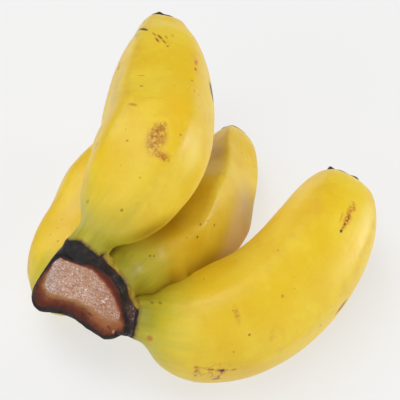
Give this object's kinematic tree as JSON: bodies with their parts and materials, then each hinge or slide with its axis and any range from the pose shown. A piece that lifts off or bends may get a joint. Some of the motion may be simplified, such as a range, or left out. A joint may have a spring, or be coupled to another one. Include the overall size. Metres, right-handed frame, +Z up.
{
  "type": "hand of baby bananas",
  "caption": "Small hand of baby bananas still joined at a cut crown, lying on its side, for a fruit bowl, market stall or kitchen scene.",
  "frame": {"origin": "middle of the hand's footprint, on the surface that it lies on", "axes": "+Z up, +Y from the crown towards the fruits' tips, +X towards the fruit that lies apart from the others"},
  "size_m": [0.1058, 0.114, 0.0688],
  "materials": {
    "peel": "satin ripe yellow peel, green at the neck, with brown specks",
    "crown": "dry matt cut face, pinkish beige inside a dark brown ring"
  },
  "bodies": {
    "root": {"crown": "crown", "banana_top": "peel", "banana_middle": "peel", "banana_right": "peel", "banana_left": "peel"}
  },
  "joints": []
}
